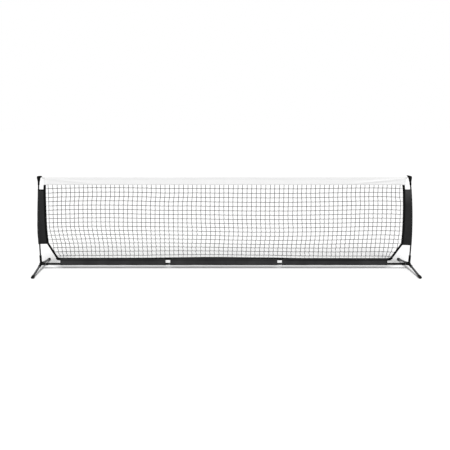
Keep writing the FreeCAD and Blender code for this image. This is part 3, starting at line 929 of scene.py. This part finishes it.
def add_tape_run(shape, thread, path, width, lift, seed):
    """Two plies of tape, one on each face of the net, with a row of stitches along each edge."""
    y = TAPE_OUT - TAPE_LEAF / 2 + lift
    for face in FACES:
        add_ribbon(shape, path, width, TAPE_LEAF, face * y, seed + face)
        lifted = Vector((0, face, 0)) * (y + TAPE_LEAF / 2)
        for edge in (-1, 1):
            reach = edge * (width / 2 - STITCH_INSET)
            row = [point + across * reach + lifted for point, across in zip(path, across_path(path))]
            thread.add_stitches(row[1:-1], face)


def add_box_stitch(thread, center, half_x, half_z, y):
    """A sewn box with a cross in it, on both faces."""
    for face in FACES:

        def at(u, v):
            return Vector((center[0] + u * half_x, face * y, center[1] + v * half_z))

        loop = [at(-1, -1), at(1, -1), at(1, 1), at(-1, 1), at(-1, -1), at(1, 1)]
        thread.add_stitches(loop, face)
        thread.add_stitches([at(-1, 1), at(1, -1)], face)


def make_side_tape(side, sign):
    """The tape along a side of the net, between the corner tape and the band."""
    shape = Shape()
    thread = Shape()
    count = round((TAPE_TOP - EDGE_SIDE[sign][0][1]) / TAPE_STEP)
    path = []
    for k in range(count + 1):
        out, z = curve_point(EDGE_SIDE[sign], 1 - k / count)
        path.append(Vector((sign * out, 0, z)))
    path.append(path[-1] + (path[-1] - path[-2]).normalized() * TAPE_LAP)
    add_tape_run(shape, thread, path, SIDE_TAPE_WIDTH, 0.0, 20 + sign)
    shape.build("side_tape_webbing_" + side, "edge_tape", ["side_tape_" + side])
    thread.build("side_tape_thread_" + side, "edge_tape")


def make_corner_tape(side, sign):
    """The tape across the net's lower corner, with a sewn patch where it meets the bottom tape."""
    shape = Shape()
    thread = Shape()
    corner = Vector(EDGE_SIDE[sign][0])
    foot = Vector(EDGE_FOOT[sign])
    ahead = (foot - corner).normalized()
    start = corner - ahead * CORNER_LAP
    end = foot + ahead * TAPE_LAP
    path = flat_run((sign * start.x, start.y), (sign * end.x, end.y))
    add_tape_run(shape, thread, path, TAPE_WIDTH, CORNER_LIFT, 30 + sign)
    inner, outer, center = (
        (sign * (foot.x + reach), foot.y + rise)
        for reach, rise in (PATCH_INNER, PATCH_OUTER, PATCH_MIDDLE)
    )
    patch = flat_run(inner, outer)
    for face in FACES:
        add_ribbon(shape, patch, PATCH_WIDTH, TAPE_LEAF, face * (TAPE_OUT + PATCH_LIFT), 40 + sign)
    add_box_stitch(thread, center, *PATCH_STITCH, TAPE_OUT + PATCH_THREAD)
    shape.build("corner_tape_webbing_" + side, "edge_tape", ["corner_tape_" + side])
    thread.build("corner_tape_thread_" + side, "edge_tape")


def make_bottom_tape():
    """The tape along the foot of the net, drawn up a little at both ends by the corner tapes."""
    shape = Shape()
    thread = Shape()
    start = low_corner("bottom_tape").x
    end = high_corner("bottom_tape").x
    path = flat_run((start, FOOT_Z), (end, FOOT_Z))
    drop = (FOOT_TAPE_WIDTH - TAPE_WIDTH) / 2
    for point in path:
        run = min(point.x - start, end - point.x)
        point.z = foot_z(point.x) - drop + END_LIFT * smooth(1 - run / END_LIFT_REACH)
    add_tape_run(shape, thread, path, FOOT_TAPE_WIDTH, 0.0, 50)
    shape.build("bottom_tape_webbing", "edge_tape", ["bottom_tape"])
    thread.build("bottom_tape_thread", "edge_tape")


# Sleeves


def wrap_section(radius, sew, half_gap, far, flats=12, arcs=12):
    """Cloth that comes in flat, goes round a rod and returns, as (inward, out) pairs.

    The rod's axis is at (0, 0), the cloth meets itself at the sew line and ends at far.
    """
    spread = math.acos(radius / sew)
    front = [(far + (sew - far) * k / flats, -half_gap) for k in range(flats + 1)]
    tangent = (radius * math.cos(spread), -radius * math.sin(spread))
    for share in (0.35, 0.7):
        front.append((blend(sew, tangent[0], share), blend(-half_gap, tangent[1], share)))
    around = []
    for k in range(arcs + 1):
        angle = -spread - (2 * math.pi - 2 * spread) * k / arcs
        around.append((radius * math.cos(angle), radius * math.sin(angle)))
    back = [(u, -v) for u, v in reversed(front)]
    return front + around + back


def section_lengths(section):
    """Distance along a section to each of its points."""
    run = 0.0
    lengths = [0.0]
    for a, b in zip(section, section[1:]):
        run += math.dist(a, b)
        lengths.append(run)
    return lengths


def sleeve_height(sign, across):
    """Height of a side sleeve at a share of the way from the pole to the tape."""
    return SLEEVE_HIGH - blend(SLEEVE_LOW_POLE[sign], SLEEVE_LOW_TAPE[sign], across)


def sleeve_level(sign, t):
    """Height of a place in the middle of a side sleeve, by its share of the way up."""
    return SLEEVE_HIGH - (1 - t) * sleeve_height(sign, 0.5)


def sleeve_point(sign, inward, out, t, seed):
    """A point of a side sleeve's cloth. Its height runs from 0 at the lower edge to 1 at the top."""
    level = sleeve_level(sign, t)
    width = pole_x(sign, level) - tape_x(sign, level)
    across = clamp((inward - SEW_LINE) / (width - SEW_LINE))
    z = SLEEVE_HIGH - (1 - t) * sleeve_height(sign, across)
    if inward < 0:
        slack = SLEEVE_LOOSE[sign] * smooth((1 - t) / 0.8) * (1 + 0.25 * ripple(seed, 0, z, 1, 0.08))
        slack *= blend(HEM_LOOSE, 1.0, smooth(t / HEM_REACH))
        inward -= slack * smooth(-inward / POLE_RADIUS)
    else:
        width = pole_x(sign, z) - tape_x(sign, z) + SLEEVE_LAP
        inward = min(inward, SEW_LINE) + across * (width - SEW_LINE)
    flat = smooth(across / 0.25) * smooth((1 - across) / 0.3)
    face = -1 if out < 0 else 1
    x = pole_x(sign, z) - inward
    pull = ripple(seed + face, x, z, 0.09, 0.016) * 0.9 + ripple(seed + 3, x, z, 0.05, 0.05)
    crease = SLEEVE_CREASE * flat * pull * smooth(min(t, 1 - t) * 25 + 0.4)
    edge = SLEEVE_EDGE_RIPPLE * flat * ripple(seed + 5, x, 0, 0.05)
    edge *= smooth((t - 0.94) / 0.06) - smooth((0.06 - t) / 0.06)
    return Vector((sign * x, out + crease, z + edge))


def sleeve_rows(sign, low, high, lift, steps, seed):
    """Rows of a side sleeve's cloth between two shares of its height."""
    radius = POLE_RADIUS + POLE_EASE + CLOTH_PLY / 2 + lift
    for i in range(steps + 1):
        t = blend(low, high, i / steps)
        level = sleeve_level(sign, t)
        far = pole_x(sign, level) - tape_x(sign, level)
        section = wrap_section(radius, SEW_LINE, SEAM_GAP + lift, far)
        points = [sleeve_point(sign, inward, out, t, seed) for inward, out in section]
        yield points, [(run, level) for run in section_lengths(section)]


def sleeve_thread(sign, height):
    """Stitches along a side sleeve: down its seam by the pole and across both of its hems."""
    thread = Shape()
    for face in FACES:
        seam = []
        for k in range(61):
            z = SLEEVE_HIGH - height * blend(0.02, 0.98, k / 60)
            seam.append(Vector((sign * (pole_x(sign, z) - SEW_LINE), face * SEAM_THREAD, z)))
        thread.add_stitches(seam, face)
        top_z = SLEEVE_HIGH - SLEEVE_TOP_HEM + HEM_STITCH
        low_pole_z = SLEEVE_LOW_POLE[sign] + SLEEVE_LOW_HEM - HEM_STITCH
        low_tape_z = SLEEVE_LOW_TAPE[sign] + SLEEVE_LOW_HEM - HEM_STITCH
        hems = ((top_z, top_z, BINDING_THREAD), (low_tape_z, low_pole_z, LOW_HEM_THREAD))
        for tape_z, pole_z, lift in hems:
            inner = sign * (tape_x(sign, tape_z) + SIDE_TAPE_WIDTH / 2)
            outer = sign * (pole_x(sign, pole_z) - SEW_LINE - HEM_STITCH)
            ends = [Vector((inner, face * lift, tape_z)), Vector((outer, face * lift, pole_z))]
            thread.add_stitches(ends, face)
    return thread


def make_side_sleeves():
    for side, sign in SIDES:
        seed = 60 + 10 * sign
        height = sleeve_height(sign, 0.5)
        rows = list(sleeve_rows(sign, 0.0, 1.0, 0.0, 110, seed))
        name = "side_sleeve_cloth_" + side
        cloth = build_cloth(name, "side_cloth", rows, CLOTH_PLY, ["side_sleeve_" + side])
        slot = SLEEVE_HEM_SLOT[sign]
        rows = sleeve_rows(sign, 1 - SLEEVE_TOP_HEM / height, 1 + HEM_PAST, BINDING_LIFT, 5, seed)
        binding = build_cloth("sleeve_binding_" + side, slot, rows, HEM_PLY)
        rows = sleeve_rows(sign, -HEM_PAST, SLEEVE_LOW_HEM / height, LOW_HEM_LIFT, 5, seed)
        low_hem = build_cloth("sleeve_hem_" + side, slot, rows, LOW_HEM_PLY)
        threads = sleeve_thread(sign, height).build("sleeve_thread_" + side, "edge_tape")


def bottom_rows(start, end, lift, seed):
    """Rows of the cloth round the base bar between two places along it.

    It is pinched together over the bar, and its two flaps then lie over the foot of the tape.
    """
    steps = max(3, round((end - start) / SKIRT_STEP))
    radius = BAR_RADIUS + BAR_EASE + CLOTH_PLY / 2 + lift
    neck = SKIRT_NECK_Z - BAR_Z
    top = FOOT_Z - FLAP_SHORT - BAR_Z
    flap_out = TAPE_OUT + FLAP_LIFT + lift
    section = wrap_section(radius, neck, SEAM_GAP + lift, top, flats=5, arcs=14)
    lengths = section_lengths(section)
    for i in range(steps + 1):
        x = blend(start, end, i / steps)
        flap = (foot_z(x) - FLAP_SHORT - SKIRT_NECK_Z) / (top - neck)
        points = []
        for up, out in section:
            free = smooth((up - 0.004) / 0.014) * smooth((neck + 0.004 - up) / 0.012)
            under = smooth((-up - 0.004) / 0.006)
            face = -1 if out < 0 else 1
            fold = ripple(seed + face, x, up, 0.045, 0.02) + 0.6 * ripple(seed + 2, x, up, 0.16, 0.05)
            push = face * SKIRT_FOLD * free * (0.4 + fold)
            sag = SKIRT_SAG * under * (1 + ripple(seed + 4, x, 0, 0.12))
            level = min(up, neck) + flap * max(up - neck, 0.0)
            flared = face * (flap_out - abs(out)) * smooth((up - neck) / SKIRT_FLARE)
            points.append(Vector((x, out + push + flared, BAR_Z + level - sag)))
        yield points, [(x, run) for run in lengths]


def make_bottom_sleeves():
    for number, side in enumerate(("left", "center", "right")):
        node = "bottom_sleeve_" + side
        start = low_corner(node).x
        end = high_corner(node).x
        seed = 90 + 7 * number
        rows = list(bottom_rows(start, end, 0.0, seed))
        cloth = build_cloth("bar_sleeve_cloth_" + side, "bar_cloth", rows, CLOTH_PLY, [node])
        hems = Shape()
        thread = Shape()
        for place, toward in ((start, 1), (end, -1)):
            hem_start, hem_end = sorted((place - toward * BAR_HEM_PAST, place + toward * BAR_HEM))
            hems.add_rows(bottom_rows(hem_start, hem_end, HEM_LIFT, seed))
            x = place + toward * BAR_HEM_STITCH
            for face in FACES:
                low = Vector((x, face * (BAR_RADIUS + BAR_THREAD), BAR_Z + HEM_STITCH))
                high = Vector((x, face * BAR_THREAD, SKIRT_NECK_Z + HEM_STITCH))
                thread.add_stitches([low, high], face)
        hem = hems.build("bar_sleeve_hem_" + side, "bar_cloth", ply=HEM_PLY)
        first = start + END_STITCH
        last = end - END_STITCH
        for face in FACES:
            neck = [Vector((x, face * NECK_THREAD, SKIRT_NECK_Z)) for x in (first, last)]
            thread.add_stitches(neck, face)
            upper = flat_run((first, FOOT_Z), (last, FOOT_Z))
            for point in upper:
                point.y = face * (TAPE_OUT + FLAP_LIFT + CLOTH_PLY / 2 + THREAD_LIFT)
                point.z = foot_z(point.x) - FLAP_STITCH
            thread.add_stitches(upper, face)
        threads = thread.build("bar_sleeve_thread_" + side, "edge_tape")


# White band along the top


def band_section():
    """The band's middle surface from the front's lower edge over the top, as (z, out) pairs."""
    out = BAND_OUT - BAND_PLY / 2
    top = BAND_HIGH - BAND_OUT
    front = [(blend(BAND_LOW, top, k / 16), -out) for k in range(17)]
    over = []
    for k in range(1, 6):
        angle = math.pi * k / 6
        over.append((top + out * math.sin(angle), -out * math.cos(angle)))
    back = [(z, -y) for z, y in reversed(front)]
    return front + over + back


def tension_fold(x, z):
    """Depth of the creases that run in from the band's top corners."""
    run = BAND_HALF - abs(x - HANG_X)
    fade = smooth(run / 0.03) * smooth((0.62 - run) / 0.35)
    depth = 0.0
    for start, drop, width, size in BAND_CREASES:
        crease_z = BAND_HIGH - CREASE_TOP - start - run * drop
        depth += CREASE_SHARE[side_of(x)] * size * fade * bell(z - crease_z, width)
    return depth


def band_point(x, z, out, lift):
    """A point of the band, with its ripples and creases."""
    face = -1 if out < 0 else 1
    height = clamp((z - BAND_LOW) / (BAND_HIGH - BAND_LOW))
    free = smooth((0.94 - height) / 0.1)
    slow = ripple(120 + face, x, z, 0.21, 0.09)
    quick = ripple(123 + face, x, z, 0.05, 0.05)
    push = free * (BAND_WAVE * slow + BAND_WRINKLE * quick + CREASE_DEPTH * tension_fold(x, z))
    from_end = BAND_HALF - abs(x - HANG_X)
    push += BAND_FLARE * smooth(1 - from_end / BAND_FLARE_REACH) * (1 - height) ** 1.5
    channel = CHANNEL_DEPTH * bell(z - STRAP_Z, STRAP_WIDTH / 2)
    edge = BAND_EDGE_RIPPLE * ripple(125, x, 0, 0.16) * smooth((0.25 - height) / 0.25)
    crown = BAND_EDGE_RIPPLE * ripple(126, x, 0, 0.30) * smooth((height - 0.85) / 0.15)
    return Vector((x, out + face * (push + channel + lift), z + edge + crown))


def band_rows(start, end, section, lift):
    """Rows of the band's cloth between two places along it, from the middle of the fabric."""
    steps = max(2, round(abs(end - start) / BAND_STEP))
    lengths = section_lengths(section)
    for i in range(steps + 1):
        x = HANG_X + blend(start, end, i / steps)
        yield [band_point(x, z, out, lift) for z, out in section], [(x, run) for run in lengths]


def make_headband():
    section = band_section()
    rows = band_rows(-BAND_HALF, BAND_HALF, section, 0.0)
    band = build_cloth("headband_cloth", "headband_vinyl", rows, BAND_PLY, ["headband"])
    hems = Shape()
    for _, sign in SIDES:
        start, end = sorted((sign * (BAND_HALF + BAND_HEM_PAST), sign * (BAND_HALF - BAND_HEM)))
        hems.add_rows(band_rows(start, end, section, HEM_LIFT))
    hem = hems.build("headband_end_hems", "headband_vinyl", ply=HEM_PLY)
    thread = Shape()
    count = round(2 * BAND_HALF / BAND_STEP)
    along = [HANG_X + blend(-BAND_HALF, BAND_HALF, k / count) for k in range(1, count)]
    up = [blend(BAND_LOW + BAND_LOW_STITCH, BAND_HIGH - BAND_TOP_STITCH, k / 12) for k in range(13)]
    for face in FACES:
        surface = face * (BAND_OUT - BAND_PLY / 2)
        for z in (BAND_LOW + BAND_LOW_STITCH, BAND_LOW + BAND_SEAM, STRAP_Z - BAND_SEAM):
            row = [band_point(x, z, surface, BAND_PLY / 2 + THREAD_LIFT) for x in along]
            thread.add_stitches(row, face)
        for _, sign in SIDES:
            x = hung_x(sign, BAND_HALF - BAND_HEM + HEM_STITCH)
            thread.add_stitches([band_point(x, z, surface, BAND_END_THREAD) for z in up], face)
    for _, sign in SIDES:
        center = (hung_x(sign, BAND_HALF - BAND_BOX_IN), STRAP_Z)
        add_box_stitch(thread, center, *BAND_BOX, BAND_OUT + BAND_BOX_LIFT)
    threads = thread.build("headband_thread", "strap_webbing")
    flat_height = section_lengths(section)[-1]


# Strap and tip pockets


def make_strap():
    """The strap, which runs along inside the band and rises at both ends to the pole tips."""
    shape = Shape()
    left, right = (Vector((hung_x(sign, BAND_HALF + STRAP_BEND_GAP), 0, STRAP_Z)) for _, sign in SIDES)
    left_tip, right_tip = (
        Vector((sign * (pole_x(sign, POLE_TOP) - STRAP_TIP_GAP), 0, STRAP_Z + STRAP_RISE))
        for _, sign in SIDES
    )
    inside = [left.lerp(right, k / STRAP_STEPS) for k in range(STRAP_STEPS + 1)]
    add_ribbon(shape, [left_tip, *inside, right_tip], STRAP_WIDTH, STRAP_THICKNESS)
    shape.build("strap_ribbon", "strap_webbing", ["top_strap"])


# Outline of a tip pocket, from the cup's mouth up to the two ends of its upper edge,
# as (distance from the pole's axis, height above the mouth)
POCKET_NECK = [(POLE_RADIUS + 0.0028, 0.0), (POLE_RADIUS + 0.0036, 0.028)]
POCKET_OUTER = [*POCKET_NECK, (0.0140, 0.047), (0.0190, 0.065), (0.0190, 0.083)]
POCKET_INNER = [*POCKET_NECK, (0.0140, 0.047), (0.0170, 0.066)]
POCKET_TAIL = {-1: (0.035, 0.086), 1: (0.032, 0.093)}
POCKET_CROWN = 0.003


def pocket_row(sign, t):
    """One level of a tip pocket: a flattened cup round the pole with a wing on each side."""
    outer, outer_rise = curve_point(POCKET_OUTER, t)
    inner, inner_rise = curve_point([*POCKET_INNER, POCKET_TAIL[sign]], t)
    crown = POCKET_CROWN * smooth((t - 0.8) / 0.2)
    points = []
    marks = []
    for k in range(2 * POCKET_FLATS):
        step = min(k, 2 * POCKET_FLATS - k)
        face = -1 if k < POCKET_FLATS else 1
        swing = math.cos(math.pi * step / POCKET_FLATS)
        u = swing * (outer if swing > 0 else inner)
        body = POCKET_BODY * math.sqrt(max(0.0, 1 - (u / POCKET_BODY) ** 2))
        half = max(body, WING_PLY * math.sqrt(1 - abs(swing) ** 4))
        share = (outer - u) / (outer + inner)
        z = POCKET_LOW + blend(outer_rise, inner_rise, share) + crown * math.sin(math.pi * share)
        fold = POCKET_FOLD * ripple(140 + sign, u, z, 0.012, 0.02)
        y = face * (half + fold) if 0 < step < POCKET_FLATS else 0.0
        points.append(Vector((sign * (pole_x(sign, z) + u), y, z)))
        marks.append((z, u))
    return points, marks


def make_pockets():
    for side, sign in SIDES:
        shape = Shape()
        rows = [pocket_row(sign, i / POCKET_LEVELS) for i in range(POCKET_LEVELS + 1)]
        shape.add_rows(rows, closed=True, capped=True)
        shape.build("tip_pocket_webbing_" + side, "pocket_webbing", ["tip_pocket_" + side])


# Stage, light and camera


def seen_share(tree):
    """A socket that is 1 for what the camera sees, directly, in a gloss or through glass."""
    path = tree.nodes.new("ShaderNodeLightPath")
    seen = path.outputs["Is Camera Ray"]
    for kind in ("Is Glossy Ray", "Is Transmission Ray"):
        either = tree.nodes.new("ShaderNodeMath")
        either.operation = "MAXIMUM"
        tree.links.new(seen, either.inputs[0])
        tree.links.new(path.outputs[kind], either.inputs[1])
        seen = either.outputs[0]
    return seen


def make_floor():
    """A plain floor that lights the net like pale grey and is seen nearly white."""
    mesh = bpy.data.meshes.new("studio_floor")
    half = FLOOR_SIZE / 2
    corners = [(-half, -half, 0), (half, -half, 0), (half, half, 0), (-half, half, 0)]
    mesh.from_pydata(corners, [], [(0, 1, 2, 3)])
    floor = placed("studio_floor", mesh)
    finish = Finish("studio_floor", 1.0, specular=0.0)
    finish.feed(finish.shader.inputs["Base Color"], grey(FLOOR_GREY))
    white = finish.made("BsdfDiffuse", 0, {"Color": grey(1.0)})
    glow = finish.made("Emission", 0, {"Strength": FLOOR_GLOW})
    both = finish.made("AddShader", 0, {0: white, 1: glow})
    links = {0: seen_share(finish.tree), 1: finish.shader.outputs[0], 2: both}
    surface = finish.tree.nodes["Material Output"].inputs["Surface"]
    finish.feed(surface, finish.made("MixShader", 0, links))
    mesh.materials.append(finish.material)


def make_light():
    """A wide soft sun in front, and a sky that is seen white but lights the net far less."""
    sun = bpy.data.lights.new("studio_sun", "SUN")
    sun.energy = SUN_STRENGTH
    sun.angle = SUN_ANGLE
    placed("studio_sun", sun).rotation_euler = (math.pi / 2 - SUN_ELEVATION, 0, 0)
    world = bpy.data.worlds.new("studio_sky")
    bpy.context.scene.world = world
    world.use_nodes = True
    tree = world.node_tree
    sky = tree.nodes["Background"]
    sky.inputs["Color"].default_value = (1, 1, 1, 1)
    strength = tree.nodes.new("ShaderNodeMapRange")
    tree.links.new(seen_share(tree), strength.inputs["Value"])
    strength.inputs["To Min"].default_value = SKY_STRENGTH
    strength.inputs["To Max"].default_value = 1.0
    tree.links.new(strength.outputs["Result"], sky.inputs["Strength"])


def make_camera():
    data = bpy.data.cameras.new("camera")
    data.sensor_width = 36
    data.lens = CAMERA_LENS
    data.shift_x = CAMERA_SHIFT
    data.clip_end = 200
    camera = placed("camera", data)
    camera.location = CAMERA_PLACE
    camera.rotation_euler = (CAMERA_TILT, 0, 0)
    bpy.context.scene.camera = camera
    bpy.context.scene.view_settings.view_transform = "Standard"


make_camera()
make_light()
make_floor()
finish_frame()
make_net()
for side, sign in SIDES:
    make_side_tape(side, sign)
    make_corner_tape(side, sign)
make_bottom_tape()
make_side_sleeves()
make_bottom_sleeves()
make_headband()
make_strap()
make_pockets()

bpy.context.view_layer.update()
